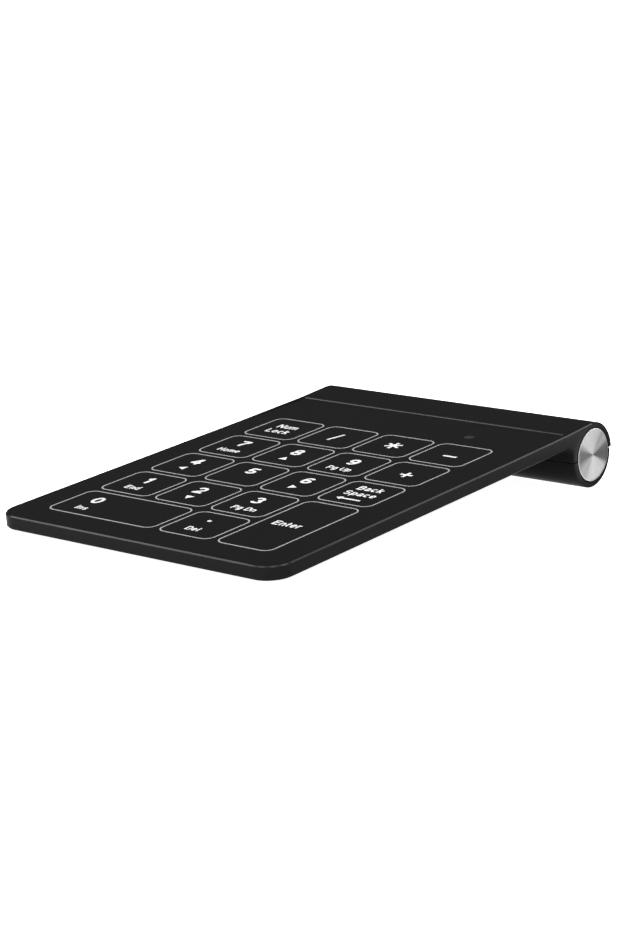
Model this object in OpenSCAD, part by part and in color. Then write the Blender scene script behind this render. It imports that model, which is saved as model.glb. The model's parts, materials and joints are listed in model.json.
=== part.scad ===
// Slim wireless touch numeric keypad: a thin flat slab with a printed touch
// surface, standing on a battery tube that runs across its rear edge.
// Millimetres. +X right, +Y towards the tube, +Z up, standing on its feet.
// The slab is drawn level (top face at z = 0, front edge at y = 0) and then
// leaned back by `tilt` as one assembly.

/* [Slab] */

// Width across the slab and the tube
width = 93; // [80:0.5:110]
// Thickness of the slab
slab_t = 3.65; // [3:0.05:5]
// Plan radius of the two front corners
corner_r = 6.5; // [2:0.5:12]
// Lean of the slab, front low and rear high, in degrees
tilt = 6.1; // [3:0.1:9]
// Distance from the front edge to the rear edge of the touch sheet
seam_y = 122.5; // [115:0.5:128]
// Height of the step up behind the touch sheet
step_h = 0.22; // [0.1:0.02:0.5]
// Thickness of the slab's side walls
wall = 1.6; // [1.2:0.1:2.5]
// Width of the ledge that carries the touch sheet
ledge = 1.5; // [1:0.1:3]

/* [Keys] */

// Spacing of the keys
pitch = 19.05; // [17:0.05:20]
// Outside size of a single key outline
key = 17.35; // [15:0.05:18]
// Corner radius of a key outline
key_r = 2.75; // [1:0.05:4]
// Width of the printed line
line_w = 0.4; // [0.2:0.05:0.8]
// Front edge of the slab to the nearest key outline
key_y0 = 9.15; // [5:0.05:14]
// Sideways offset of the printed block of keys
print_shift = -0.25; // [-0.5:0.05:0.5]

/* [Tube] */

// Outside radius of the tube
tube_r = 8.9; // [8:0.05:10]
// Distance of the tube axis behind the slab's front edge
tube_y = 134.15; // [128:0.05:140]
// Height of the tube axis relative to the slab's top face
tube_z = -8.28; // [-10:0.02:-8]
// Radius of the battery bore
bore_r = 7.4; // [7.3:0.05:7.8]
// Position of the tube's front flank below the slab
flank_y = 124.45; // [122:0.05:126]
// Radius under the slab where it meets the tube's flank
fillet_r = 2.3; // [0.5:0.1:2.6]
// Offset of the upper shell towards the rear
lip_out = 0.3; // [0:0.05:0.6]
// Offset of the battery cover towards the front
lip_in = 0.65; // [0.2:0.05:0.8]
// Gap at the parting line between shell and cover
part_gap = 0.06; // [0.04:0.01:0.3]
// Radius of the spun end disc
disc_r = 7.25; // [7:0.05:7.5]
// Thickness of the end disc
disc_t = 0.85; // [0.5:0.05:1.5]
// Outside radius of the bevelled groove round the end disc
groove_r = 7.8; // [7.6:0.05:8]
// Depth of the groove round the end disc
groove_t = 0.45; // [0.1:0.05:0.5]

/* [Layers in the slab] */

// Thickness of the printed touch sheet
sheet_t = 0.8; // [0.5:0.05:1.2]
// Thickness of the adhesive under the touch sheet
glue_t = 0.15; // [0.1:0.05:0.3]
// Thickness of the copper key electrodes
pad_t = 0.05; // [0.03:0.01:0.1]
// Thickness of the sensor board
board_t = 0.6; // [0.4:0.1:1]
// Thickness of the bottom plate
plate_t = 1; // [0.8:0.1:1.5]

/* [Controls] */

// Sideways position of the power switch
switch_x = -31; // [-36:0.5:-26]
// Travel of the power switch
switch_travel = 2; // [1:0.1:3]
// Sideways position of the pairing button
pair_x = -25; // [-27:0.5:-22]
// Height of both controls relative to the slab's top face
control_z = -6.6; // [-7:0.1:-6]
// Status light, distance right of centre
led_x = 22.8; // [15:0.1:35]
// Status light, distance behind the front edge
led_y = 110; // [105:0.1:115]

/* [Hidden] */

e = 0.01;
half = width / 2;
// ledge top, board, and bottom plate levels
glue_z = -sheet_t;
pad_z = glue_z - glue_t;
board_z = pad_z - pad_t;
under_z = board_z - board_t;
plate_z = -slab_t + plate_t;
inset = wall + ledge;
cav_y1 = 119.5;
plate_in = 1.1;
plate_y1 = 121.8;
// junction between the slab and the tube
cheek = 5;
inner = half - cheek;
flank_in = flank_y + 1.1;
roof_z = -1.25;
// boards in the tube
cb_x0 = -40;
cb_x1 = -21.5;
cb_y = 127.5;
cb_t = 0.8;
// battery
cell_r = 7.1;
cell_x0 = -17.5;
cell_x1 = 33;
lead_r = 0.42;
// wires at the contacts: (y, z) relative to the tube axis
neg_lead = [-5.4, 6.04];
pos_lead = [-7.08, 5.14];
bulk_t = 1.6;
screw_x = 41.3;
screws_y = [6.8, 117];
// standing position: the feet's soles are at z = 0
clear = 0.42;
lift = slab_t * cos(tilt) + clear;
y_back = (tube_y + lip_out + tube_r) * cos(tilt) - tube_z * sin(tilt);
y_mid = y_back / 2;

shell_c = [0.09, 0.09, 0.1];
sheet_c = [0.12, 0.12, 0.13];
ink_c = [0.75, 0.75, 0.75];
metal_c = [0.75, 0.76, 0.78];
gold_c = [0.8, 0.62, 0.3];
board_c = [0.05, 0.25, 0.12];
chip_c = [0.06, 0.06, 0.06];
rubber_c = [0.05, 0.05, 0.05];
white_c = [0.85, 0.85, 0.82];

// ---- placing -----------------------------------------------------------

module stand() translate([0, -y_mid, lift]) rotate([tilt, 0, 0]) children();

// a (y, z) profile carried along X between two positions
module along_x(x0, x1)
  translate([x0, 0, 0]) rotate([90, 0, 90]) linear_extrude(height = x1 - x0) children();

// a cylinder along X about the tube axis
module tube_cyl(r, x0, x1) along_x(x0, x1) translate([tube_y, tube_z]) circle(r, $fn = 96);

// seat of an end disc, with the bevelled groove round it
module disc_seats() for (m = [0, 1]) mirror([m, 0, 0]) {
  tube_cyl(disc_r + 0.06, half - disc_t, half + disc_t);
  translate([half - groove_t, tube_y, tube_z]) rotate([0, 90, 0])
    cylinder(h = 2 * groove_t, r1 = disc_r + 0.06, r2 = 2 * groove_r - disc_r - 0.06, $fn = 96);
}

module box(x, y, z) translate([x[0], y[0], z[0]]) cube([x[1] - x[0], y[1] - y[0], z[1] - z[0]]);

// plan of the slab set in by `i`, from its front to y1
module plan(i, y1) {
  r = corner_r - i;
  w = half - i;
  translate([-w, corner_r]) square([2 * w, y1 - corner_r]);
  translate([-w + r, i]) square([2 * (w - r), corner_r - i + e]);
  for (s = [-1, 1]) translate([s * (half - corner_r), corner_r]) circle(r, $fn = 64);
}

module layer(z0, z1) translate([0, 0, z0]) linear_extrude(height = z1 - z0) children();

module rounded(w, h, r) {
  translate([-w / 2 + r, -h / 2]) square([w - 2 * r, h]);
  translate([-w / 2, -h / 2 + r]) square([w, h - 2 * r]);
  for (x = [-1, 1], y = [-1, 1]) translate([x * (w / 2 - r), y * (h / 2 - r)]) circle(r, $fn = 40);
}

// the keys: column, row from the front, columns wide, rows deep
KEYS = [
  [0, 4, 1, 1], [1, 4, 1, 1], [2, 4, 1, 1], [3, 4, 1, 1],
  [0, 3, 1, 1], [1, 3, 1, 1], [2, 3, 1, 1], [3, 3, 1, 1],
  [0, 2, 1, 1], [1, 2, 1, 1], [2, 2, 1, 1], [3, 2, 1, 1],
  [0, 1, 1, 1], [1, 1, 1, 1], [2, 1, 1, 1], [3, 0, 1, 2],
  [0, 0, 2, 1], [2, 0, 1, 1]
];

module at_key(k)
  translate([(k[0] + k[2] / 2 - 2) * pitch + print_shift, key_y0 + (k[1] + k[3] / 2) * pitch - (pitch - key) / 2, 0])
    children();

module key_shape(k, i, r) rounded(k[2] * pitch - (pitch - key) - 2 * i, k[3] * pitch - (pitch - key) - 2 * i, r);

// ---- housing -----------------------------------------------------------

module top_profile() {
  polygon([
    [0, -slab_t], [0, 0], [95, 0], [seam_y, step_h], [tube_y + lip_out, tube_z + tube_r],
    [tube_y + lip_out, tube_z], [flank_y, tube_z], [flank_y, -slab_t]
  ]);
  intersection() {
    translate([tube_y + lip_out, tube_z]) circle(tube_r, $fn = 128);
    translate([tube_y, tube_z]) square([20, 12]);
  }
  translate([flank_y - fillet_r, -slab_t - fillet_r]) difference() {
    square(fillet_r + e);
    circle(fillet_r, $fn = 48);
  }
}

// room behind the flank wall, open to the bore and to the slab's cavity
module junction_profile() polygon([
  [cav_y1 - 1, roof_z], [tube_y - 2, roof_z], [tube_y - 2, tube_z - e],
  [flank_in, tube_z - e], [flank_in, plate_z], [cav_y1 - 1, plate_z]
]);

module top_housing() color(shell_c) stand() {
  difference() {
    intersection() {
      along_x(-half, half) top_profile();
      layer(-20, 5) plan(0, 150);
    }
    layer(-sheet_t, 3) plan(wall, seam_y);
    // chamfered front edge of the raised rear deck
    along_x(-half + wall, half - wall)
      polygon([[seam_y - 1, 0], [seam_y, 0], [seam_y + step_h, step_h], [seam_y, 1], [seam_y - 1, 1]]);
    layer(-6, 0) plan(inset, cav_y1);
    layer(-slab_t - 1, plate_z) intersection() {
      plan(plate_in, plate_y1);
      square([300, 2 * plate_y1], center = true);
    }
    along_x(-inner, inner) junction_profile();
    tube_cyl(bore_r, -half - 1, half + 1);
    disc_seats();
    // power switch slot and pairing button hole
    box([switch_x - 2.35, switch_x + 2.35], [flank_y - 1, flank_in + 0.3], [control_z - 0.95, control_z + 0.95]);
    translate([pair_x, flank_in + 0.3, control_z]) rotate([90, 0, 0]) cylinder(h = 3, r = 1.35, $fn = 40);
  }
  // screw bosses
  for (s = [-1, 1], y = screws_y) translate([s * screw_x, y, plate_z]) difference() {
    cylinder(h = -sheet_t - plate_z, r = 2.3, $fn = 40);
    translate([0, 0, -e]) cylinder(h = 1.5, r = 0.7, $fn = 24);
  }
}

module touch_sheet() color(sheet_c) stand() difference() {
  layer(-sheet_t, 0) plan(wall + 0.02, seam_y - 0.1);
  translate([led_x, led_y, -2]) cylinder(h = 4, r = 1.42, $fn = 40);
}

module key_outlines() color(ink_c) stand() for (k = KEYS) at_key(k) layer(0, 0.03) difference() {
  key_shape(k, 0, key_r);
  key_shape(k, line_w, key_r - line_w);
}

module led_window() color(chip_c) stand() translate([led_x, led_y, 0]) {
  translate([0, 0, -sheet_t]) cylinder(h = sheet_t, r = 1.4, $fn = 40);
  translate([0, 0, under_z + 0.05]) cylinder(h = -sheet_t - under_z, r = 1, $fn = 32);
}

// cut-outs for the screw bosses at the corners of the layers
module boss_notches() for (s = [0, 1]) mirror([s, 0, 0]) for (y = screws_y) {
  translate([screw_x, y, -3]) cylinder(h = 4, r = 2.7, $fn = 40);
  box([screw_x, half], y < 60 ? [0, y + 2.7] : [y - 2.7, cav_y1 + 1], [-3, 1]);
}

module sheet_adhesive() color(white_c) stand() difference() {
  layer(pad_z, glue_z) plan(inset + 0.3, cav_y1 - 0.3);
  boss_notches();
  translate([led_x, led_y, -3]) cylinder(h = 4, r = 1.4, $fn = 40);
}

module bottom_plate() color(shell_c) stand() difference() {
  layer(-slab_t, plate_z) plan(plate_in + 0.05, plate_y1 - 0.05);
  for (s = [-1, 1], y = screws_y) translate([s * screw_x, y, -slab_t]) {
    translate([0, 0, -1]) cylinder(h = 3, r = 0.85, $fn = 24);
    translate([0, 0, -e]) cylinder(h = 0.65, r1 = 1.5, r2 = 0.85, $fn = 32);
  }
}

module plate_screws() color(metal_c) stand()
  for (s = [-1, 1], y = screws_y) translate([s * screw_x, y, -slab_t]) difference() {
    union() {
      cylinder(h = 0.6, r1 = 1.4, r2 = 0.8, $fn = 32);
      cylinder(h = 2.3, r = 0.68, $fn = 24);
    }
    // cross recess
    for (a = [0, 90]) rotate([0, 0, a]) translate([-0.75, -0.14, -e]) cube([1.5, 0.28, 0.4]);
  }

module front_feet() color(rubber_c) difference() {
  for (s = [-1, 1]) translate([s * 36.5, 7 * cos(tilt) - y_mid, 0]) linear_extrude(height = 5) rounded(14, 5, 2.45);
  stand() box([-half, half], [-5, 30], [-slab_t, 10]);
}

// ---- electronics in the slab -------------------------------------------

module sensor_board() color(board_c) stand() difference() {
  layer(under_z, board_z) plan(inset + 0.3, cav_y1 - 0.3);
  boss_notches();
  translate([led_x, led_y, -3]) cylinder(h = 4, r = 1.1, $fn = 32);
}

module key_electrodes() color(gold_c) stand()
  for (k = KEYS) at_key(k) layer(board_z, pad_z) key_shape(k, 1.8, 1.5);

// a part hung under the sensor board
module under_board(x, y, size) translate([x - size[0] / 2, y - size[1] / 2, under_z - size[2]]) cube(size);

module chip_legs(x, y, size, n) for (i = [0:n - 1], s = [-1, 1]) {
  d = (i - (n - 1) / 2) * 0.8;
  translate([x + d - 0.15, y + s * (size / 2 + 0.25) - 0.35, under_z - 0.15]) cube([0.3, 0.7, 0.15]);
  translate([x + s * (size / 2 + 0.25) - 0.35, y + d - 0.15, under_z - 0.15]) cube([0.7, 0.3, 0.15]);
}

module touch_controller() color(chip_c) stand() {
  under_board(8, 60, [7, 7, 0.85]);
  chip_legs(8, 60, 7, 8);
}

module radio_chip() color(chip_c) stand() {
  under_board(-20, 88, [5, 5, 0.8]);
  chip_legs(-20, 88, 5, 6);
}

module crystal() color(metal_c) stand() under_board(-12.5, 88, [3.2, 2.5, 0.7]);

module passives() color(white_c) stand() {
  for (i = [0:5]) under_board(2 + i * 2.4, 50.5, [1, 0.5, 0.5]);
  for (i = [0:3]) under_board(-24 + i * 2.4, 81, [1, 0.5, 0.5]);
  for (i = [0:2]) under_board(-26.5, 84 + i * 3, [0.6, 1.2, 0.5]);
  under_board(-13, 103, [2, 1.2, 0.8]);
  under_board(-18, 103, [2, 1.2, 0.8]);
}

// printed inverted-F aerial
module antenna() color(gold_c) stand() {
  under_board(-32, 98, [16, 1, 0.05]);
  under_board(-39.5, 95.5, [1, 6, 0.05]);
  under_board(-36.5, 95.25, [0.8, 5.5, 0.05]);
}

module status_led() color(white_c) stand() difference() {
  under_board(led_x, led_y, [3.2, 1.6, 0.6]);
  translate([led_x, led_y, under_z - 0.1]) cylinder(h = 1, r = 0.5, $fn = 24);
}

module sensor_connector() color(white_c) stand() difference() {
  under_board(-31, 114.5, [10, 3, 0.95]);
  box([-35.1, -26.9], [114.8, 118], [-2.12, -1.98]);
}

// flat cable: back from the sensor board, then down behind the control board
module flex_cable() color(gold_c) stand() along_x(-35, -27) {
  translate([114.9, -2.1]) square([13.5, 0.1]);
  translate([128.4, -2.65]) intersection() {
    difference() {
      circle(0.65, $fn = 48);
      circle(0.55, $fn = 48);
    }
    square(2);
  }
  translate([128.95, -4.6]) square([0.1, 1.95 + e]);
}

// ---- electronics in the tube -------------------------------------------

module control_board() color(board_c) stand() {
  box([cb_x0, cb_x1], [cb_y, cb_y + cb_t], [-11.5, -2.4]);
  // ear for the battery wire
  box([cb_x1 - 2.5, cb_x1], [cb_y, cb_y + cb_t], [-3, -1.5]);
}

module control_connector() color(white_c) stand() difference() {
  box([-36, -26], [cb_y + cb_t, cb_y + cb_t + 1.5], [-5.6, -3.9]);
  box([-35.1, -26.9], [128.93, 129.07], [-4.62, -3]);
}

module switch_body() color(metal_c) stand() difference() {
  box([switch_x - 3.35, switch_x + 3.35], [126.05, cb_y], [control_z - 1.4, control_z + 1.4]);
  box([switch_x - 1.9, switch_x + 1.9], [126, 126.75], [control_z - 0.5, control_z + 0.5]);
}

// drawn at its off end, left of the middle of its slot
module switch_knob() color(rubber_c) stand() translate([switch_x - switch_travel / 2, 0, control_z]) {
  difference() {
    box([-1.1, 1.1], [flank_y - 0.95, 125.7], [-0.75, 0.75]);
    for (x = [-0.6, 0, 0.6]) box([x - 0.12, x + 0.12], [flank_y - 1, flank_y - 0.7], [-1, 1]);
  }
  box([-2.3, 2.3], [125.65, 125.95], [-1.2, 1.2]);
  box([-0.6, 0.6], [125.9, 126.6], [-0.4, 0.4]);
}

module pair_switch() color(metal_c) stand() translate([pair_x, cb_y, control_z]) rotate([90, 0, 0]) {
  translate([-1.5, -1.5, 0]) cube([3, 3, 0.75]);
  cylinder(h = 0.95, r = 0.8, $fn = 32);
}

module pair_button() color(rubber_c) stand() translate([pair_x, 0, control_z]) {
  translate([0, 126.1, 0]) rotate([90, 0, 0]) cylinder(h = 0.4, r = 1.7, $fn = 40);
  translate([0, 126, 0]) rotate([90, 0, 0]) cylinder(h = 126 - flank_y + 0.5, r = 1.2, $fn = 40);
}

// ---- battery compartment -----------------------------------------------

module cover_profile() {
  difference() {
    intersection() {
      translate([tube_y - lip_in, tube_z + 0.05]) circle(tube_r, $fn = 128);
      translate([tube_y - 15, tube_z - part_gap - 15]) square([30, 15]);
    }
    translate([tube_y, tube_z]) circle(bore_r, $fn = 96);
  }
}

// inner locating tongue along the cover's front edge
module tongue(x0, x1) box([x0, x1], [125.65, 126.1], [tube_z - 0.4, tube_z + 0.8]);

module sector(r0, r1, a0, a1, step = 2) polygon([
  for (a = [a0:step:a1]) r1 * [cos(a), sin(a)],
  for (a = [a1:-step:a0]) r0 * [cos(a), sin(a)]
]);

module battery_cover() color(shell_c) stand() {
  difference() {
    along_x(-half, half) cover_profile();
    disc_seats();
  }
  tongue(-17, 39);
  tongue(-41, -37);
  // rear snap hook
  along_x(-38, -24) translate([tube_y, tube_z]) {
    sector(6.7, 7.6, -12, -2);
    sector(6.7, 7.25, -3, 14);
  }
}

module rear_foot() color(rubber_c) difference() {
  translate([0, (tube_y - lip_in) * cos(tilt) - (tube_z + 0.05) * sin(tilt) - y_mid, 0])
    linear_extrude(height = 1.35) rounded(34, 4, 1.95);
  stand() along_x(-half, half) translate([tube_y - lip_in, tube_z + 0.05]) circle(tube_r, $fn = 128);
}

module battery_cell() color(metal_c) stand() translate([cell_x0, tube_y, tube_z]) rotate([90, 0, 90])
  rotate_extrude($fn = 96) polygon([
    [0, 0], [2.6, 0], [2.75, 0.15], [2.75, 1.1], [6.2, 1.2], [6.9, 1.7], [cell_r, 2],
    [cell_r, 49.7], [6.8, 50.1], [4.6, 50.2], [4.4, 50.5], [0, 50.5]
  ]);

// coil of flat wire, shown compressed by the cell
module negative_spring() color(metal_c) stand() translate([cell_x1, tube_y, tube_z]) rotate([90, 0, 90])
  linear_extrude(height = 6.3, twist = -1260, slices = 84, convexity = 8) sector(3.1, 3.6, 0, 100, 20);

// square contact with a tab reaching out to its wire
module contact_plate(x, t, lead) along_x(x, x + t) translate([tube_y, tube_z]) {
  rounded(9, 9, 1.5);
  rotate(atan2(lead[1], lead[0])) translate([3, -0.8]) square([norm(lead) - 2.6, 1.6]);
}

module negative_contact() color(metal_c) stand() contact_plate(cell_x1 + 6.3, 0.35, neg_lead);

module positive_contact() color(metal_c) stand() contact_plate(cell_x0 - 0.4, 0.4, pos_lead);

module bulkheads() color(shell_c) stand()
  for (x = [cell_x0 - 0.4 - bulk_t, cell_x1 + 6.65]) tube_cyl(bore_r - 0.12, x, x + bulk_t);

module end_plugs() color(shell_c) stand() for (m = [0, 1]) mirror([m, 0, 0]) difference() {
  tube_cyl(bore_r - 0.08, inner + 0.15, half - disc_t);
  tube_cyl(bore_r - 1.4, inner, half - disc_t - 1.2);
}

// dished, with a bright bevelled rim and a small centre point
module end_discs() color(metal_c) stand() for (m = [0, 1]) mirror([m, 0, 0])
  translate([half - disc_t, tube_y, tube_z]) rotate([90, 0, 90]) rotate_extrude($fn = 128) polygon([
    [0, 0], [disc_r, 0], [disc_r, disc_t - 0.12], [disc_r - 0.12, disc_t], [disc_r - 0.25, disc_t],
    [disc_r - 0.35, disc_t - 0.08], [0.35, disc_t - 0.16], [0, disc_t - 0.3]
  ]);

// a wire from the control board's end to a contact's tab
module lead(x, at) along_x(cb_x1 - 1.9, x) translate([tube_y + at[0], tube_z + at[1]]) circle(lead_r, $fn = 24);

module battery_leads() color([0.6, 0.08, 0.06]) stand() {
  lead(cell_x1 + 6.3, neg_lead);
  lead(cell_x0 - 0.4, pos_lead);
}

top_housing();
touch_sheet();
key_outlines();
led_window();
sheet_adhesive();
sensor_board();
key_electrodes();
touch_controller();
radio_chip();
crystal();
passives();
antenna();
status_led();
sensor_connector();
flex_cable();
control_board();
control_connector();
switch_body();
switch_knob();
pair_switch();
pair_button();
bottom_plate();
plate_screws();
front_feet();
battery_cover();
rear_foot();
battery_cell();
negative_spring();
negative_contact();
positive_contact();
bulkheads();
end_plugs();
end_discs();
battery_leads();
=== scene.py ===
"""Looks of the touch numeric keypad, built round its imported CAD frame.

Everything is in metres in the row frame. "Deck" coordinates (u, v, w) are those of the slab before it
leans back: u right, v back from the front top edge, w up from the top face.
"""

import json
from math import atan2, cos, hypot, pi, radians, sin

import bmesh
import bpy
from mathutils import Euler, Matrix, Vector


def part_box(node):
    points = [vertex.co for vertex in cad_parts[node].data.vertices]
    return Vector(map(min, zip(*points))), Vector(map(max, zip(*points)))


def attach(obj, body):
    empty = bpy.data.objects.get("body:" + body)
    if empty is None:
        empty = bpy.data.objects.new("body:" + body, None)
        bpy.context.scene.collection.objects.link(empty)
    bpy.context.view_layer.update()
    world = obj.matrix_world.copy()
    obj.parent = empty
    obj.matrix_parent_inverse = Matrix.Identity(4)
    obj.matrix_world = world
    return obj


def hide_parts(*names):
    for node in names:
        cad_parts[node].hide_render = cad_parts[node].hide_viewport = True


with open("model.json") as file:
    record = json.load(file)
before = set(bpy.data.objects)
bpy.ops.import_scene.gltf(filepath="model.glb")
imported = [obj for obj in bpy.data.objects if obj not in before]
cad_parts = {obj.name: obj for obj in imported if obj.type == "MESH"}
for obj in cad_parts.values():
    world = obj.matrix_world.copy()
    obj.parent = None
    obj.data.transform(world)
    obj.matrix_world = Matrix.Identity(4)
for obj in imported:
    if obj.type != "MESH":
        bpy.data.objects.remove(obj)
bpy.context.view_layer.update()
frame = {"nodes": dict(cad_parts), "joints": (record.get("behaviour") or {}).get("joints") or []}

NODES = frame["nodes"]
MM = 0.001

# sizes the looks share with the CAD: the slab, its front corners, and the grid of the key outlines
SLAB_T = 3.65 * MM
CORNER_R = 6.5 * MM
PITCH = 19.05 * MM
KEY = 17.35 * MM
KEY_V0 = 9.15 * MM
# the tube's middle line and radius, the groove round its discs, and the gap between its two shells
TUBE_V = 134.15 * MM
TUBE_W = -8.28 * MM
TUBE_R = 8.9 * MM
SEAT_R = 7.36 * MM
GROOVE_R = 7.8 * MM
GROOVE_T = 0.45 * MM
PART_GAP = 0.06 * MM
# each shell's rear lip lies farther behind the tube's middle line than this
HOUSING_LIP = 8.0 * MM
COVER_LIP = 7.6 * MM

# sizes of the looks alone: the ink's thickness, where the discs' rim painted bright as a highlight begins,
# and chamfers
INK_W = 0.03 * MM
DISC_RIM_R = 7.06 * MM
TOP_BEVEL = 0.3 * MM
COVER_BEVEL = 0.12 * MM
FINE_BEVEL = 0.05 * MM

# an edge that turns by more than SHARP can be chamfered; one below SMOOTH is shaded smooth
SHARP = radians(30)
SMOOTH = radians(38)
# ends of edges nearer than MERGE are one corner, and faces flatter than FLAT are one face
MERGE = 0.012 * MM
FLAT = radians(0.2)
# a point nearer than this to a face lies on it
TOLERANCE = 0.02 * MM

# the lean of the slab is the lean of the cover's pull direction
PULL = Vector(next(j for j in frame["joints"] if j["name"] == "battery_cover_pull")["axis"])
TILT = atan2(PULL.y, -PULL.z)
LOW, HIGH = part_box("top_housing")
# half the keypad's width, and the way from deck coordinates to the row frame
HALF = HIGH.x
DECK = Matrix.Translation((0, LOW.y, LOW.z + SLAB_T * cos(TILT))) @ Matrix.Rotation(TILT, 4, "X")
TO_DECK = DECK.inverted()

# the printed block sits a little to one side of the middle
PRINT_LOW, PRINT_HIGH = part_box("key_outlines")
PRINT_U = (PRINT_LOW.x + PRINT_HIGH.x) / 2


# ---- node helpers ---------------------------------------------------------

# nearly all values of a noise texture lie between these two
NOISE_LOW, NOISE_HIGH = 0.3, 0.7


class Nodes:
    """A material's node tree, with a Principled shader at its end."""

    def __init__(self, name, colour, roughness, metallic=0.0, specular=0.5):
        self.mat = bpy.data.materials.new(name)
        self.mat.use_nodes = True
        self.tree = self.mat.node_tree
        self.shader = self.tree.nodes["Principled BSDF"]
        self.set("Base Color", (*colour, 1))
        self.set("Roughness", roughness)
        self.set("Metallic", metallic)
        self.set("Specular IOR Level", specular)
        self.coords = self.tree.nodes.new("ShaderNodeTexCoord").outputs["Object"]

    def set(self, socket, value):
        self.shader.inputs[socket].default_value = value

    def link(self, a, b):
        self.tree.links.new(a, b)

    def add(self, kind, inputs=(), **props):
        node = self.tree.nodes.new("ShaderNode" + kind)
        for key, value in props.items():
            setattr(node, key, value)
        for key, value in dict(inputs).items():
            if isinstance(value, bpy.types.NodeSocket):
                self.link(value, node.inputs[key])
            else:
                node.inputs[key].default_value = value
        return node

    def noise(self, size, detail=2.0, vector=None):
        """Noise whose features are about `size` across, in the units of the vector it is read at."""
        node = self.add("TexNoise", {"Scale": 1 / size, "Detail": detail, "Roughness": 0.5})
        self.link(vector or self.coords, node.inputs["Vector"])
        return node.outputs["Fac"]

    def math(self, op, a, b=0.0, c=0.0):
        node = self.add("Math", operation=op)
        for socket, value in zip(node.inputs, (a, b, c)):
            if isinstance(value, bpy.types.NodeSocket):
                self.link(value, socket)
            else:
                socket.default_value = value
        return node.outputs[0]

    def remap(self, value, low, high, new_low, new_high):
        node = self.add("MapRange", {
            "Value": value, "From Min": low, "From Max": high, "To Min": new_low, "To Max": new_high,
        })
        return node.outputs["Result"]

    def mix(self, fac, a, b):
        """Blend of two colours, each given as numbers or as a socket."""
        node = self.add("Mix", data_type="RGBA")
        self.link(fac, node.inputs["Factor"])
        for socket, colour in ((node.inputs[6], a), (node.inputs[7], b)):
            if isinstance(colour, bpy.types.NodeSocket):
                self.link(colour, socket)
            else:
                socket.default_value = (*colour, 1)
        return node.outputs[2]

    def colour(self, fac, a, b):
        self.link(self.mix(fac, a, b), self.shader.inputs["Base Color"])

    def roughness(self, fac, low, high):
        self.link(self.remap(fac, NOISE_LOW, NOISE_HIGH, low, high), self.shader.inputs["Roughness"])

    def bump(self, height, depth):
        """Bump from a height of 0 to 1, `depth` metres deep."""
        node = self.add("Bump", {"Height": height, "Strength": 1.0, "Distance": depth})
        self.link(node.outputs["Normal"], self.shader.inputs["Normal"])


# ---- materials ------------------------------------------------------------


def grained_plastic(name, colour, roughness=0.5, grain=0.22 * MM, depth=0.012 * MM, specular=0.3):
    """Moulded plastic with a fine spark-eroded grain and faint uneven sheen."""
    patches = 9 * MM
    fine_share = 0.75
    n = Nodes(name, colour, roughness, specular=specular)
    fine = n.noise(grain, 3.0)
    broad = n.noise(patches, 3.0)
    light = tuple(c * 1.35 for c in colour)
    mottle = n.math("MULTIPLY_ADD", fine, fine_share, n.math("MULTIPLY", broad, 1 - fine_share))
    n.colour(mottle, colour, light)
    n.roughness(broad, roughness - 0.05, roughness + 0.06)
    n.bump(fine, depth)
    return n.mat


def printed_ink(name, colour):
    """Screen-printed ink: flat, very slightly mottled."""
    n = Nodes(name, colour, 0.5, specular=0.3)
    mottled = n.noise(0.35 * MM, 2.0)
    n.colour(mottled, tuple(c * 0.85 for c in colour), colour)
    n.roughness(mottled, 0.42, 0.58)
    return n.mat


def smoked_window(name):
    n = Nodes(name, (0.02, 0.02, 0.02), 0.4, specular=0.25)
    haze = n.noise(0.6 * MM, 2.0)
    n.colour(haze, (0.012, 0.012, 0.013), (0.02, 0.02, 0.021))
    n.roughness(haze, 0.34, 0.46)
    return n.mat


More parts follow.
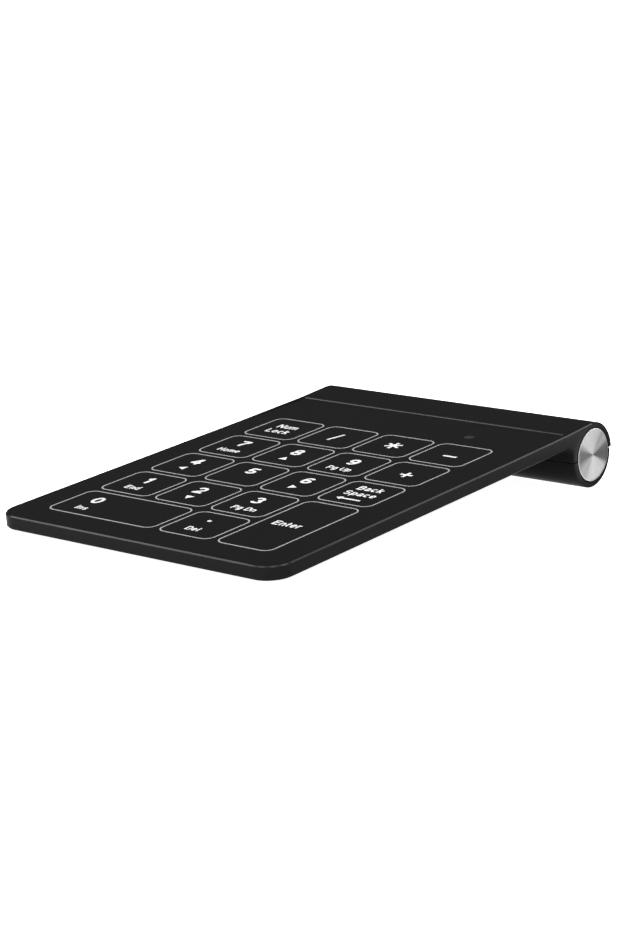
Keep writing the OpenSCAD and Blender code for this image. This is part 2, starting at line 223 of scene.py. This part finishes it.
def spun_aluminium_painted_sheen(name, centre, rim):
    """Face-turned metal: concentric tool marks, a painted sheen in two broad fans and a rim painted bright
    as a highlight.

    The painted sheen is colour standing in for reflected light: bright above and below the centre, dying
    away to painted shade in wedges before and behind it.
    """
    n = Nodes(name, (0.5, 0.5, 0.5), 0.5, metallic=1.0)
    n.set("Anisotropic", 0.9)
    apart = n.add("SeparateXYZ", {"Vector": n.coords})
    y = n.math("SUBTRACT", apart.outputs["Y"], centre.y)
    z = n.math("SUBTRACT", apart.outputs["Z"], centre.z)
    radius = n.math("SQRT", n.math("ADD", n.math("MULTIPLY", y, y), n.math("MULTIPLY", z, z)))
    tangent = n.add("CombineXYZ", {"X": 0.0, "Y": n.math("MULTIPLY", z, -1.0), "Z": y})
    n.link(tangent.outputs["Vector"], n.shader.inputs["Tangent"])
    # tool marks follow the radius, streaks of painted sheen the bearing from the centre
    grooves = n.noise(0.16 * MM, 4.0, n.add("CombineXYZ", {"X": radius}).outputs["Vector"])
    across = n.math("DIVIDE", y, radius)
    up = n.math("DIVIDE", z, radius)
    bearing = n.add("CombineXYZ", {"Y": across, "Z": up}).outputs["Vector"]
    streaks = n.noise(0.09, 3.0, bearing)
    broad = n.noise(0.5, 2.0, bearing)
    # how near a bearing is to straight before or behind, with a ragged border
    ragged = n.math("MULTIPLY_ADD", broad, 0.16, n.math("MULTIPLY_ADD", streaks, 0.08, -0.12))
    wedge = n.math("ADD", n.math("ABSOLUTE", n.math("MULTIPLY_ADD", up, -0.03, across)), ragged)
    wedge_from, wedge_to, fan_painted_sheen = 0.84, 0.98, 0.65
    fans = n.remap(wedge, wedge_from, wedge_to, fan_painted_sheen, 0.0)
    # the painted sheen is a little weaker towards the top and the back
    lean = n.math("MULTIPLY_ADD", up, -0.08, n.math("MULTIPLY_ADD", across, -0.07, -0.12))
    sheen = n.math("ADD", lean, n.math("MULTIPLY_ADD", streaks, 0.35, fans))
    # the face's colour is painted light, dark in the wedges and bright in the fans, over real metal with
    # anisotropic reflections
    face = n.mix(sheen, (0.06, 0.06, 0.0605), (0.39, 0.39, 0.392))
    # past the rim radius the colour is a steady bright one, a painted highlight on the rim
    n.colour(n.math("GREATER_THAN", radius, rim), face, (0.42, 0.42, 0.425))
    n.roughness(grooves, 0.4, 0.55)
    n.bump(grooves, 0.004 * MM)
    return n.mat


def moulded_rubber(name):
    n = Nodes(name, (0.02, 0.02, 0.02), 0.75, specular=0.3)
    grain = n.noise(0.3 * MM, 4.0)
    n.colour(grain, (0.014, 0.014, 0.014), (0.035, 0.035, 0.036))
    n.roughness(grain, 0.68, 0.85)
    n.bump(grain, 0.03 * MM)
    return n.mat


def solder_mask(name):
    n = Nodes(name, (0.01, 0.10, 0.04), 0.35, specular=0.5)
    weave = n.add("TexWave", {"Vector": n.coords, "Scale": 900.0, "Distortion": 1.5}, wave_type="BANDS")
    cloth = n.math("MULTIPLY", weave.outputs["Fac"], n.noise(0.5 * MM))
    n.colour(cloth, (0.008, 0.085, 0.03), (0.014, 0.13, 0.05))
    n.roughness(cloth, 0.3, 0.42)
    n.bump(cloth, 0.01 * MM)
    return n.mat


def metal(name, colour, roughness, squeeze=(1, 1, 1)):
    """Rolled or drawn metal; its fine scratches are squeezed by these factors along x, y and z."""
    n = Nodes(name, colour, roughness, metallic=1.0)
    squeezed = n.add("Mapping", {"Vector": n.coords, "Scale": squeeze})
    scratches = n.noise(0.12 * MM, 4.0, squeezed.outputs["Vector"])
    n.colour(scratches, tuple(c * 0.8 for c in colour), colour)
    n.roughness(scratches, roughness - 0.06, roughness + 0.1)
    n.bump(scratches, 0.004 * MM)
    return n.mat


def moulded(name, colour, roughness=0.5):
    """Small moulded electronic part, film or wire sleeve."""
    n = Nodes(name, colour, roughness, specular=0.4)
    pores = n.noise(0.18 * MM, 4.0)
    n.colour(pores, tuple(c * 0.75 for c in colour), tuple(c * 1.2 for c in colour))
    n.roughness(pores, roughness - 0.08, roughness + 0.1)
    n.bump(pores, 0.01 * MM)
    return n.mat


def cell_jacket(name, low, high):
    """Printed sleeve of a dry cell: dark with a copper band towards low x, and bare metal tips."""
    bare_to, band_to, bare_from = 0.045, 0.3, 0.985
    bare, copper, dark = (0.75, 0.74, 0.72), (0.62, 0.30, 0.13), (0.025, 0.025, 0.03)
    stops = [(0.0, bare), (bare_to, copper), (band_to, dark), (bare_from, bare)]
    n = Nodes(name, (0.03, 0.03, 0.035), 0.3, specular=0.5)
    x = n.add("SeparateXYZ", {"Vector": n.coords}).outputs["X"]
    along = n.remap(x, low, high, 0.0, 1.0)
    ramp = n.add("ValToRGB", {"Fac": along})
    ramp.color_ramp.interpolation = "CONSTANT"
    while len(ramp.color_ramp.elements) < len(stops):
        ramp.color_ramp.elements.new(0.5)
    for element, (at, colour) in zip(ramp.color_ramp.elements, stops):
        element.position = at
        element.color = (*colour, 1)
    n.link(ramp.outputs["Color"], n.shader.inputs["Base Color"])
    tips = n.math("ADD", n.math("LESS_THAN", along, bare_to), n.math("GREATER_THAN", along, bare_from))
    n.link(tips, n.shader.inputs["Metallic"])
    n.bump(n.noise(0.8 * MM, 3.0), 0.01 * MM)
    return n.mat


def paper_white(name):
    """The sheet of white acrylic the object stands on, lit from below."""
    n = Nodes(name, (0.9, 0.9, 0.9), 0.9, specular=0.1)
    n.colour(n.noise(0.4, 2.0), (0.9, 0.9, 0.9), (0.93, 0.93, 0.93))
    n.set("Emission Color", (1, 1, 1, 1))
    n.set("Emission Strength", FLOOR_GLOW)
    return n.mat


DISC_LOW, DISC_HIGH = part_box("end_discs")
DISC_C = (Vector(DISC_LOW) + Vector(DISC_HIGH)) / 2
CELL_LOW, CELL_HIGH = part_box("battery_cell")

# the black plastic of both shells and of the sheet, and its two smoother places; the one in the groove
# round the discs is also darker, painted shade of that recess
BLACK = (0.0057, 0.0057, 0.0059)
SHELL = grained_plastic("shell_plastic", BLACK, 0.31, specular=0.014)
SHEET = grained_plastic("sheet_hard_coat", BLACK, 0.31, grain=0.2 * MM, depth=0.008 * MM, specular=0.014)
# smoother plastic, with a darker colour than the shell as painted shade in the groove round each disc
GROOVE_PAINTED_SHADE = grained_plastic("polished_bevel_painted_shade", (0.003, 0.003, 0.003), 0.35, depth=0.002 * MM, specular=0.1)
EDGE = grained_plastic("smooth_edge", BLACK, 0.2, depth=0.001 * MM, specular=0.085)

CONTROL = grained_plastic("control_plastic", (0.02, 0.02, 0.021), 0.45)
INK = printed_ink("white_ink", (0.28, 0.28, 0.28))
LEGEND = printed_ink("legend_ink", (0.62, 0.62, 0.62))
WINDOW = smoked_window("window_plastic")
# the end discs' metal carries a painted sheen and a painted highlight on the rim
SPUN_PAINTED_SHEEN = spun_aluminium_painted_sheen("spun_aluminium_painted_sheen", DISC_C, DISC_RIM_R)
RUBBER = moulded_rubber("foot_rubber")
BOARD = solder_mask("board_laminate")
COPPER = metal("gold_plate", (0.83, 0.6, 0.28), 0.3)
STEEL = metal("plated_steel", (0.66, 0.66, 0.67), 0.28, squeeze=(1, 4, 1))
CHIP = moulded("chip_resin", (0.02, 0.02, 0.021), 0.6)
CONNECTOR = moulded("connector_nylon", (0.72, 0.7, 0.64))
CERAMIC = moulded("ceramic_parts", (0.42, 0.3, 0.2), 0.4)
FLEX = moulded("polyimide", (0.55, 0.24, 0.03), 0.3)
WIRE = moulded("wire_sleeve", (0.42, 0.02, 0.015), 0.4)
FILM = moulded("adhesive_film", (0.7, 0.69, 0.64), 0.45)
CELL = cell_jacket("cell_jacket", CELL_LOW.x, CELL_HIGH.x)

NODE_MATERIALS = {
    "top_housing": SHELL, "battery_cover": SHELL, "bottom_plate": SHELL, "bulkheads": SHELL,
    "end_plugs": SHELL, "touch_sheet": SHEET, "key_outlines": INK, "led_window": WINDOW,
    "sheet_adhesive": FILM, "sensor_board": BOARD, "control_board": BOARD, "key_electrodes": COPPER,
    "antenna": COPPER, "touch_controller": CHIP, "radio_chip": CHIP, "crystal": STEEL,
    "passives": CERAMIC, "status_led": CONNECTOR, "sensor_connector": CONNECTOR,
    "control_connector": CONNECTOR, "flex_cable": FLEX, "switch_body": STEEL, "pair_switch": STEEL,
    "switch_knob": CONTROL, "pair_button": CONTROL, "plate_screws": STEEL, "front_feet": RUBBER,
    "rear_foot": RUBBER, "battery_cell": CELL, "negative_spring": STEEL, "negative_contact": STEEL,
    "positive_contact": STEEL, "end_discs": SPUN_PAINTED_SHEEN, "battery_leads": WIRE,
}


def dress(obj, *materials):
    obj.data.materials.clear()
    for material in materials:
        obj.data.materials.append(material)


# ---- pieces ---------------------------------------------------------------


def refined(node, edges, body="keypad"):
    """A copy of a CAD node with chosen sharp edges chamfered, standing for that node.

    edges is a list of (size, test); an edge is worked when both its ends pass test(u, v, w).
    """
    bm = bmesh.new()
    bm.from_mesh(NODES[node].data)
    bmesh.ops.remove_doubles(bm, verts=bm.verts, dist=MERGE)
    bmesh.ops.dissolve_limit(bm, angle_limit=FLAT, verts=bm.verts, edges=bm.edges)
    for size, test in edges:
        sharp = [
            e for e in bm.edges
            if len(e.link_faces) == 2 and e.calc_face_angle(0) > SHARP
            and all(test(*(TO_DECK @ v.co)) for v in e.verts)
        ]
        bmesh.ops.bevel(bm, geom=sharp, offset=size, offset_type="OFFSET", segments=1, profile=0.5,
                        affect="EDGES", clamp_overlap=True)
    bm.verts.index_update()
    mesh = bpy.data.meshes.new(node + "_shape")
    mesh.from_pydata([v.co for v in bm.verts], [], [[v.index for v in f.verts] for f in bm.faces])
    mesh.polygons.foreach_set("use_smooth", [True] * len(mesh.polygons))
    mesh.set_sharp_from_angle(angle=SMOOTH)
    obj = bpy.data.objects.new(node + "_looks", mesh)
    bpy.context.scene.collection.objects.link(obj)
    dress(obj, NODE_MATERIALS[node], GROOVE_PAINTED_SHADE, EDGE)
    # faces in the groove round a disc take the darker plastic, painted shade of the recess; chamfers take
    # the smooth edge plastic
    for polygon in mesh.polygons:
        polygon.material_index = 1 if in_groove(polygon.center) else 2 if on_bevel(polygon) else 0
    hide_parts(node)
    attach(obj, body)


def near(a, b):
    return abs(a - b) < TOLERANCE


def in_groove(point):
    """In the bevelled groove round an end disc, whose plastic is painted darker as shade."""
    u, v, w = TO_DECK @ point
    return (SEAT_R < hypot(v - TUBE_V, w - TUBE_W) < GROOVE_R
            and HALF - GROOVE_T < abs(u) < HALF - TOLERANCE)


# how much of a chamfer's normal points up from the deck
CHAMFER_UP_MIN, CHAMFER_UP_MAX = 0.5, 0.9


def on_bevel(polygon):
    """On the chamfers round the top face, which face half upwards."""
    _, v, w = TO_DECK @ polygon.center
    upward = (TO_DECK.to_3x3() @ polygon.normal).z
    return v < TUBE_V and w > -TOP_BEVEL and CHAMFER_UP_MIN < upward < CHAMFER_UP_MAX


def on_plan_outline(u, v, w):
    """On the slab's side walls, front wall or round front corners."""
    if v < CORNER_R and abs(u) > HALF - CORNER_R:
        return near(hypot(abs(u) - HALF + CORNER_R, v - CORNER_R), CORNER_R)
    return near(abs(u), HALF) or near(v, 0)


def on_tube_length(u, v, w):
    """On the long lower edges of the tube's upper shell: its rear lip and its front flank."""
    return near(w, TUBE_W) and (v > TUBE_V + HOUSING_LIP or v < TUBE_V - TUBE_R)


def on_cover_end(u, v, w):
    """On the two end faces of the battery cover."""
    return near(abs(u), HALF)


def on_cover_length(u, v, w):
    """On the cover's long upper edges, across the gap from the tube's upper shell."""
    return near(w, TUBE_W - PART_GAP) and (v > TUBE_V + COVER_LIP or v < TUBE_V - TUBE_R)


def build_shell():
    refined("top_housing", [(TOP_BEVEL, on_plan_outline), (FINE_BEVEL, on_tube_length)])
    refined("battery_cover", [(COVER_BEVEL, on_cover_end), (FINE_BEVEL, on_cover_length)], "cover")


# ---- legends --------------------------------------------------------------

# heights of the capitals of digits, of the small words under them, and of words that stand alone
BIG, SMALL, WORD = 4.4 * MM, 2.4 * MM, 2.9 * MM
# for capitals 1 high: line widths of digits and of words, and the gap between letters
BOLD, MEDIUM, SPACING = 0.2, 0.17, 0.1

COLUMNS = 4
# (column, row from the front, columns wide, rows deep, [(mark, height of capitals, du, dv), ...])
# du and dv, in millimetres, are the mark's place from the middle of the key; signs have no capitals
LEGENDS = [
    (0, 4, 1, 1, [("Num", WORD, -0.1, 2.0), ("Lock", WORD, -0.2, -2.5)]),
    (1, 4, 1, 1, [("slash", 0, -0.6, -0.1)]),
    (2, 4, 1, 1, [("star", 0, -0.2, 0.4)]),
    (3, 4, 1, 1, [("minus", 0, 0.6, -1.2)]),
    (0, 3, 1, 1, [("7", BIG, -0.6, 2.6), ("Home", SMALL, -0.3, -3.9)]),
    (1, 3, 1, 1, [("8", BIG, -0.6, 2.6), ("up", 0, -0.5, -3.5)]),
    (2, 3, 1, 1, [("9", BIG, -0.2, 2.2), ("Pg Up", SMALL, -0.1, -4.0)]),
    (3, 3, 1, 1, [("plus", 0, 0.3, -0.7)]),
    (0, 2, 1, 1, [("4", BIG, -0.6, 2.6), ("left", 0, -0.5, -3.4)]),
    (1, 2, 1, 1, [("5", BIG, -0.5, 2.8)]),
    (2, 2, 1, 1, [("6", BIG, -0.6, 2.6), ("right", 0, -1.0, -3.3)]),
    (3, 2, 1, 1, [("Back", WORD, 0, 4.0), ("Space", WORD, 0, -0.4), ("back", 0, -0.4, -4.9)]),
    (0, 1, 1, 1, [("1", BIG, -0.6, 2.6), ("End", SMALL, -0.4, -3.8)]),
    (1, 1, 1, 1, [("2", BIG, -1.3, 2.4), ("down", 0, -0.5, -3.2)]),
    (2, 1, 1, 1, [("3", BIG, -1.1, 2.6), ("Pg Dn", SMALL, 0, -4.1)]),
    (3, 0, 1, 2, [("Enter", WORD, -0.7, 0.4)]),
    (0, 0, 1, 1, [("0", BIG, -0.7, 2.5), ("Ins", SMALL, -0.2, -3.8)]),
    (2, 0, 1, 1, [("dot", 0, -1.1, 3.0), ("Del", SMALL, -0.7, -3.5)]),
]


def spokes(count, length, wide, turn):
    """Outline of bars meeting at their inner ends, as in a plus or an asterisk."""
    outline = []
    inner = wide / 2 / sin(pi / count)
    for k in range(count):
        a = turn + 2 * pi * k / count
        for half in (-wide / 2, wide / 2):
            outline.append((length * cos(a) - half * sin(a), length * sin(a) + half * cos(a)))
        outline.append((inner * cos(a + pi / count), inner * sin(a + pi / count)))
    return outline


def ring(count, radius, turn=0.0):
    """Corners of a regular polygon; three of them make an arrow head, many a dot."""
    angles = [turn + 2 * pi * k / count for k in range(count)]
    return [(radius * cos(a), radius * sin(a)) for a in angles]


# outlines in millimetres of the signs that aren't letters
SHAPES = {
    "slash": [(-1.15, -2.9), (-0.35, -2.9), (1.15, 2.9), (0.35, 2.9)],
    "minus": [(-2.1, -0.42), (2.1, -0.42), (2.1, 0.42), (-2.1, 0.42)],
    "plus": spokes(4, 1.9, 0.84, 0.0),
    "star": spokes(6, 2.5, 0.8, pi / 2),
    "back": [(-3.8, 0), (-2.2, -1.1), (-2.2, -0.35), (3.7, -0.35), (3.7, 0.35), (-2.2, 0.35), (-2.2, 1.1)],
    "dot": ring(24, 0.6),
    "up": ring(3, 1.5, pi / 2),
    "left": ring(3, 1.5, pi),
    "down": ring(3, 1.5, -pi / 2),
    "right": ring(3, 1.5, 0.0),
}


def arc(x, y, rx, ry, start, end, steps=14):
    """Points along part of an oval, by angles in degrees."""
    angles = [radians(start + (end - start) * k / steps) for k in range(steps + 1)]
    return [(x + rx * cos(a), y + ry * sin(a)) for a in angles]


def oval(x, y, rx, ry):
    return arc(x, y, rx, ry, 0, 360, steps=28)


def bar(x0, y0, x1, y1):
    return [(x0, y0), (x1, y1)]


def about_middle(strokes):
    """A glyph turned half round, which makes a nine of a six."""
    return [[(-x, 1 - y) for x, y in stroke] for stroke in strokes]


SIX = [oval(0, 0.315, 0.255, 0.22), arc(0.03, 0.5, 0.285, 0.405, 195, 42)]

# a plain sans serif for capitals 1 high: each glyph's width, and the middle lines of its strokes
# with x from the glyph's middle and y from the line it stands on
GLYPHS = {
    "0": (0.74, [oval(0, 0.5, 0.265, 0.405)]),
    "1": (0.74, [bar(0.06, 0, 0.06, 1), [(-0.22, 0.74), (-0.08, 0.77), (0.0, 0.83), (0.05, 0.93)]]),
    "2": (0.74, [arc(0, 0.65, 0.26, 0.26, 165, -30) + [(-0.2, 0.15)], bar(-0.34, 0.095, 0.34, 0.095)]),
    "3": (0.74, [arc(0, 0.7, 0.235, 0.205, 165, -90), arc(0, 0.295, 0.265, 0.2, 90, -165)]),
    "4": (0.74, [bar(0.13, 0, 0.13, 1), bar(0.09, 0.93, -0.27, 0.33), bar(-0.36, 0.3, 0.36, 0.3)]),
    "5": (0.74, [bar(-0.22, 0.905, 0.3, 0.905), bar(-0.18, 0.95, -0.24, 0.47),
                 arc(0, 0.31, 0.265, 0.22, 148, -160)]),
    "6": (0.74, SIX),
    "7": (0.74, [bar(-0.34, 0.905, 0.33, 0.905), [(0.27, 0.86), (0.08, 0.6), (-0.05, 0.3), (-0.1, 0)]]),
    "8": (0.74, [oval(0, 0.71, 0.225, 0.2), oval(0, 0.3, 0.265, 0.205)]),
    "9": (0.74, about_middle(SIX)),
    "B": (0.72, [bar(-0.25, 0, -0.25, 1),
                 [(-0.25, 0.92), (0.02, 0.92)] + arc(0.04, 0.73, 0.19, 0.19, 90, -90) + [(-0.25, 0.54)],
                 [(0.0, 0.54)] + arc(0.04, 0.31, 0.24, 0.23, 90, -90) + [(-0.25, 0.08)]]),
    "D": (0.76, [bar(-0.27, 0, -0.27, 1),
                 [(-0.27, 0.92)] + arc(0, 0.5, 0.3, 0.42, 90, -90) + [(-0.27, 0.08)]]),
    "E": (0.66, [bar(-0.23, 0, -0.23, 1), bar(-0.23, 0.92, 0.3, 0.92), bar(-0.23, 0.52, 0.26, 0.52),
                 bar(-0.23, 0.08, 0.31, 0.08)]),
    "H": (0.76, [bar(-0.28, 0, -0.28, 1), bar(0.28, 0, 0.28, 1), bar(-0.28, 0.52, 0.28, 0.52)]),
    "I": (0.26, [bar(0, 0, 0, 1)]),
    "L": (0.62, [bar(-0.22, 0, -0.22, 1), bar(-0.22, 0.08, 0.3, 0.08)]),
    "N": (0.76, [bar(-0.28, 0, -0.28, 1), bar(0.28, 0, 0.28, 1), bar(-0.28, 0.96, 0.28, 0.04)]),
    "P": (0.7, [bar(-0.24, 0, -0.24, 1),
                [(-0.24, 0.92), (0.02, 0.92)] + arc(0.04, 0.68, 0.22, 0.24, 90, -90) + [(-0.24, 0.44)]]),
    "S": (0.7, [arc(0, 0.715, 0.23, 0.205, 25, 262), arc(0, 0.295, 0.25, 0.215, 82, -155)]),
    "U": (0.76, [[(-0.27, 1), (-0.27, 0.4)] + arc(0, 0.36, 0.27, 0.28, 180, 360) +
                 [(0.27, 0.4), (0.27, 1)]]),
    "a": (0.6, [arc(-0.01, 0.5, 0.18, 0.16, 165, 20) + [(0.17, 0.45), (0.18, 0)],
                oval(-0.03, 0.2, 0.17, 0.13)]),
    "c": (0.56, [arc(0, 0.37, 0.2, 0.3, 45, 315)]),
    "d": (0.6, [oval(-0.02, 0.37, 0.19, 0.3), bar(0.19, 0, 0.19, 1)]),
    "e": (0.58, [bar(-0.2, 0.37, 0.19, 0.37), arc(0, 0.37, 0.2, 0.3, 0, 318)]),
    "g": (0.6, [oval(-0.02, 0.37, 0.19, 0.3), [(0.19, 0.73)] + arc(0, -0.02, 0.19, 0.18, 0, -150)]),
    "k": (0.56, [bar(-0.18, 0, -0.18, 1), bar(-0.16, 0.3, 0.2, 0.73), bar(-0.04, 0.42, 0.21, 0)]),
    "l": (0.24, [bar(0, 0, 0, 1)]),
    "m": (0.88, [bar(-0.34, 0, -0.34, 0.73), arc(-0.17, 0.48, 0.17, 0.18, 180, 0) + [(0, 0)],
                 arc(0.17, 0.48, 0.17, 0.18, 180, 0) + [(0.34, 0)]]),
    "n": (0.58, [bar(-0.19, 0, -0.19, 0.73), arc(0, 0.48, 0.19, 0.18, 180, 0) + [(0.19, 0)]]),
    "o": (0.6, [oval(0, 0.37, 0.2, 0.3)]),
    "p": (0.6, [oval(0.02, 0.37, 0.19, 0.3), bar(-0.19, -0.25, -0.19, 0.73)]),
    "r": (0.42, [bar(-0.12, 0, -0.12, 0.73), arc(0.1, 0.42, 0.22, 0.24, 175, 80)]),
    "s": (0.54, [arc(0, 0.515, 0.165, 0.15, 30, 265), arc(0, 0.215, 0.175, 0.15, 85, -150)]),
    "t": (0.38, [[(-0.04, 0.93), (-0.04, 0.22)] + arc(0.07, 0.19, 0.11, 0.11, 190, 290, 6),
                 bar(-0.16, 0.66, 0.14, 0.66)]),
    "u": (0.58, [[(-0.19, 0.73)] + arc(0, 0.25, 0.19, 0.18, 180, 360), bar(0.19, 0, 0.19, 0.73)]),
    " ": (0.2, []),
}


# strokes of one word lie at this many heights, each lower than the last by a share of the ink's thickness
LAYERS, LAYER_STEP = 5, 0.04
# the side of a stroke is held this near to it where the stroke turns sharply
SHARPEST_TURN = 0.5
SAME_POINT = 1e-9


def printed(name, strokes, scale, wide):
    """A thin line of ink along each stroke; the strokes differ a hair in height, so overlaps stay clean."""
    bm = bmesh.new()
    for layer, stroke in enumerate(strokes):
        points = [Vector(p) * scale for p in stroke]
        closed = (points[0] - points[-1]).length < SAME_POINT
        if closed:
            points.pop()
        count = len(points)
        height = INK_W * (1 - LAYER_STEP * (layer % LAYERS))
        rings = []
        for i, point in enumerate(points):
            before = points[i - 1] if closed or i else point
            after = points[(i + 1) % count] if closed or i < count - 1 else point
            ahead = (after - point).normalized() if after != point else (point - before).normalized()
            behind = (point - before).normalized() if before != point else ahead
            middle = (ahead + behind).normalized()
            side = Vector((-middle.y, middle.x)) * wide / 2 / max(SHARPEST_TURN, middle.dot(ahead))
            section = ((-1, 0), (1, 0), (1, height), (-1, height))
            rings.append([bm.verts.new((*(point + s * side), z)) for s, z in section])
        for i in range(count if closed else count - 1):
            a, b = rings[i], rings[(i + 1) % count]
            for k in range(4):
                bm.faces.new((a[k], a[(k + 1) % 4], b[(k + 1) % 4], b[k]))
        if not closed:
            bm.faces.new(rings[0][::-1])
            bm.faces.new(rings[-1])
    bmesh.ops.recalc_face_normals(bm, faces=bm.faces)
    mesh = bpy.data.meshes.new(name)
    bm.to_mesh(mesh)
    return bpy.data.objects.new(name, mesh)


def outline_mesh(name, outline):
    """A flat printed shape from an outline in millimetres, with the ink's thickness."""
    bm = bmesh.new()
    low = [bm.verts.new((x * MM, y * MM, 0)) for x, y in outline]
    high = [bm.verts.new((x * MM, y * MM, INK_W)) for x, y in outline]
    bm.faces.new(high)
    bm.faces.new(low[::-1])
    for i in range(len(outline)):
        j = (i + 1) % len(outline)
        bm.faces.new((low[i], low[j], high[j], high[i]))
    mesh = bpy.data.meshes.new(name)
    bm.to_mesh(mesh)
    return bpy.data.objects.new(name, mesh)


def word_mesh(name, word, capital):
    """A key legend whose capitals are `capital` high, centred on its own origin."""
    total = sum(GLYPHS[letter][0] for letter in word) + SPACING * (len(word) - 1)
    at = -total / 2
    strokes = []
    for letter in word:
        width, lines = GLYPHS[letter]
        strokes += [[(at + width / 2 + x, y - 0.5) for x, y in line] for line in lines]
        at += width + SPACING
    return printed(name, strokes, capital, (BOLD if word.isdigit() else MEDIUM) * capital)


def build_legends():
    for column, row, wide, deep, marks in LEGENDS:
        u = PRINT_U + (column + wide / 2 - COLUMNS / 2) * PITCH
        v = KEY_V0 + (row + deep / 2) * PITCH - (PITCH - KEY) / 2
        for index, (mark, size, du, dv) in enumerate(marks):
            name = f"legend_{column}_{row}_{index}"
            obj = outline_mesh(name, SHAPES[mark]) if mark in SHAPES else word_mesh(name, mark, size)
            obj.data.transform(DECK @ Matrix.Translation((u + du * MM, v + dv * MM, 0)))
            bpy.context.scene.collection.objects.link(obj)
            dress(obj, LEGEND)
            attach(obj, "keypad")


# ---- stage ----------------------------------------------------------------

# place in metres, angles in degrees, lens in millimetres
CAMERA_AT = Vector((0.3973, -0.4854, 0.1409))
CAMERA_AZIMUTH = 39.41
CAMERA_DOWN = 11.70
LENS = 93.85
SENSOR = 36
CLIP_FAR = 100

FLOOR_HALF = 30
FLOOR_DROP = 0.1 * MM
FLOOR_GLOW = 0.97

SUN_STRENGTH = 0.7
SUN_SPREAD = radians(70)

# strength of the studio's own glow, and the heights between which it rises from the one to the other
GLOW_LOW, GLOW_HIGH = 0.09, 0.2
GLOW_FROM, GLOW_TO = 0.2, 0.9

# soft boxes and their distance: name, direction from the object, size, radiance
# the three over the front are aimed so that the rounded near corner's edge mirrors them
SOFTBOX_FAR = 1.0
SOFTBOXES = [
    ("box_left", (-0.65, -0.36, 0.67), 0.42, 12.0),
    ("box_top_front", (-0.17, -0.51, 0.84), 0.32, 11.0),
    ("box_top", (0.27, -0.29, 0.92), 0.32, 11.0),
    ("box_top_back", (0.46, 0.18, 0.87), 0.32, 11.0),
    ("box_back", (0.30, 0.70, 0.65), 0.36, 6.0),
    ("box_front", (-0.10, -0.99, 0.05), 0.25, 40.0),
    ("box_right", (0.99, 0.12, 0.05), 0.25, 14.0),
]


def build_camera():
    data = bpy.data.cameras.new("camera")
    data.sensor_fit = "AUTO"
    data.sensor_width = SENSOR
    data.lens = LENS
    data.clip_end = CLIP_FAR
    camera = bpy.data.objects.new("camera", data)
    camera.location = CAMERA_AT
    camera.rotation_euler = Euler((radians(90 - CAMERA_DOWN), 0, radians(CAMERA_AZIMUTH)), "XYZ")
    bpy.context.scene.collection.objects.link(camera)
    bpy.context.scene.camera = camera


def build_floor():
    corners = [(x * FLOOR_HALF, y * FLOOR_HALF, 0) for x, y in ((-1, -1), (1, -1), (1, 1), (-1, 1))]
    mesh = bpy.data.meshes.new("floor")
    mesh.from_pydata(corners, [], [(0, 1, 2, 3)])
    floor = bpy.data.objects.new("floor", mesh)
    floor.location.z = -FLOOR_DROP
    bpy.context.scene.collection.objects.link(floor)
    dress(floor, paper_white("floor_white"))


def soft_box(name, direction, size, radiance):
    data = bpy.data.lights.new(name, "AREA")
    data.shape = "SQUARE"
    data.size = size
    data.energy = radiance * pi * size * size
    light = bpy.data.objects.new(name, data)
    light.location = Vector(direction).normalized() * SOFTBOX_FAR
    light.rotation_euler = Vector(direction).to_track_quat("Z", "Y").to_euler()
    bpy.context.scene.collection.objects.link(light)


def build_world():
    """A dim studio that is darker towards the horizon than overhead."""
    world = bpy.data.worlds.new("studio")
    world.use_nodes = True
    tree = world.node_tree
    coords = tree.nodes.new("ShaderNodeTexCoord")
    apart = tree.nodes.new("ShaderNodeSeparateXYZ")
    ramp = tree.nodes.new("ShaderNodeMapRange")
    tree.links.new(coords.outputs["Generated"], apart.inputs["Vector"])
    tree.links.new(apart.outputs["Z"], ramp.inputs["Value"])
    ramp.inputs["From Min"].default_value = GLOW_FROM
    ramp.inputs["From Max"].default_value = GLOW_TO
    ramp.inputs["To Min"].default_value = GLOW_LOW
    ramp.inputs["To Max"].default_value = GLOW_HIGH
    tree.links.new(ramp.outputs["Result"], tree.nodes["Background"].inputs["Strength"])
    tree.nodes["Background"].inputs["Color"].default_value = (1, 1, 1, 1)
    bpy.context.scene.world = world


def build_lights():
    sun = bpy.data.lights.new("overhead", "SUN")
    sun.energy = SUN_STRENGTH
    sun.angle = SUN_SPREAD
    bpy.context.scene.collection.objects.link(bpy.data.objects.new("overhead", sun))
    for box in SOFTBOXES:
        soft_box(*box)
    build_world()
    bpy.context.scene.view_settings.view_transform = "Standard"


for node_name, material in NODE_MATERIALS.items():
    dress(NODES[node_name], material)
build_shell()
build_legends()
build_floor()
build_lights()
build_camera()
